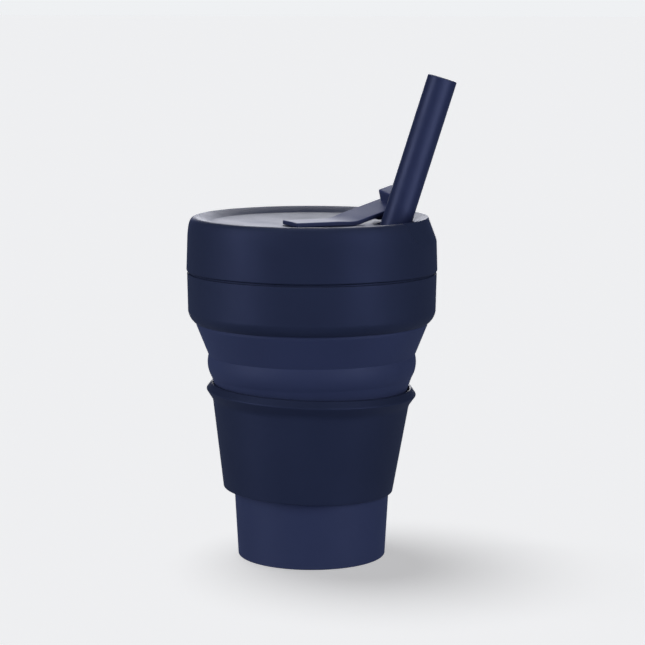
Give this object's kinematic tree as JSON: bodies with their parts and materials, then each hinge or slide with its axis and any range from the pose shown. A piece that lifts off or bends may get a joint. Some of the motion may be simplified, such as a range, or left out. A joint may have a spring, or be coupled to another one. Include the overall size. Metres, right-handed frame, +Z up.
{
  "type": "collapsible travel cup",
  "caption": "Round travel cup with stepped folding soft walls, a stiff collar, a heat sleeve, a press-on lid with a strap stopper, and a leaning straw.",
  "frame": {"origin": "centre of the cup's flat underside, on the table", "axes": "+Z up along the cup's axis; +X towards the drinking side, where the straw leans; -Y faces the viewer"},
  "size_m": [0.1044, 0.0976, 0.1888],
  "materials": {
    "cup_silicone": "matte moulded silicone",
    "rigid_plastic": "fine satin moulded polypropylene",
    "seal_silicone": "smooth silicone",
    "stopper_silicone": "smooth satin silicone",
    "straw_silicone": "smooth satin silicone"
  },
  "bodies": {
    "base": {"cup_base": "cup_silicone", "cup_fold_lower": "cup_silicone"},
    "lower_section": {"cup_wall_lower": "cup_silicone", "cup_bulge": "cup_silicone", "cup_flare": "cup_silicone"},
    "sleeve": {"sleeve": "rigid_plastic"},
    "collar": {"collar": "rigid_plastic", "cup_rim": "cup_silicone"},
    "lid": {"lid": "rigid_plastic", "lid_seal": "seal_silicone"},
    "stopper_pad": {"stopper_anchor": "stopper_silicone", "stopper_hinge": "stopper_silicone"},
    "stopper_flap": {"stopper_strap": "stopper_silicone", "stopper_plug": "stopper_silicone", "stopper_tab": "stopper_silicone"},
    "straw": {"straw": "straw_silicone"}
  },
  "joints": [
    {"name": "collapse", "type": "slide", "parent": "lower_section", "child": "collar", "axis": [0, 0, -1], "range_m": [0, 0.046], "deforming": ["cup_flare"]},
    {"name": "base_fold", "type": "slide", "parent": "base", "child": "lower_section", "axis": [0, 0, -1], "range_m": [0, 0.0245], "deforming": ["cup_fold_lower"]},
    {"name": "sleeve_slide", "type": "slide", "parent": "lower_section", "child": "sleeve", "axis": [0, 0, 1], "range_m": [-0.0245, 0]},
    {"name": "lid_lift", "type": "slide", "parent": "collar", "child": "lid", "axis": [0, 0, 1], "range_m": [0, 0.14]},
    {"name": "stopper_swivel", "type": "hinge", "parent": "lid", "child": "stopper_pad", "pos_m": [0, 0, 0.13], "axis": [0, 0, 1], "range_deg": [0, 180]},
    {"name": "stopper_flex", "type": "hinge", "parent": "stopper_pad", "child": "stopper_flap", "pos_m": [0.01188, 0.00529, 0.13105], "axis": [0.4067, -0.9135, 0], "range_deg": [0, 110], "stiffness_Nm_per_rad": 0.006, "deforming": ["stopper_hinge"]},
    {"name": "straw_slide", "type": "slide", "parent": "lid", "child": "straw", "axis": [0.2974, 0, 0.9548], "range_m": [0, 0.07384]}
  ],
  "couplings": [
    {"joint": "base_fold", "follows": "collapse", "ratio": 0.53261},
    {"joint": "straw_slide", "follows": "collapse", "ratio": 1.6052}
  ]
}
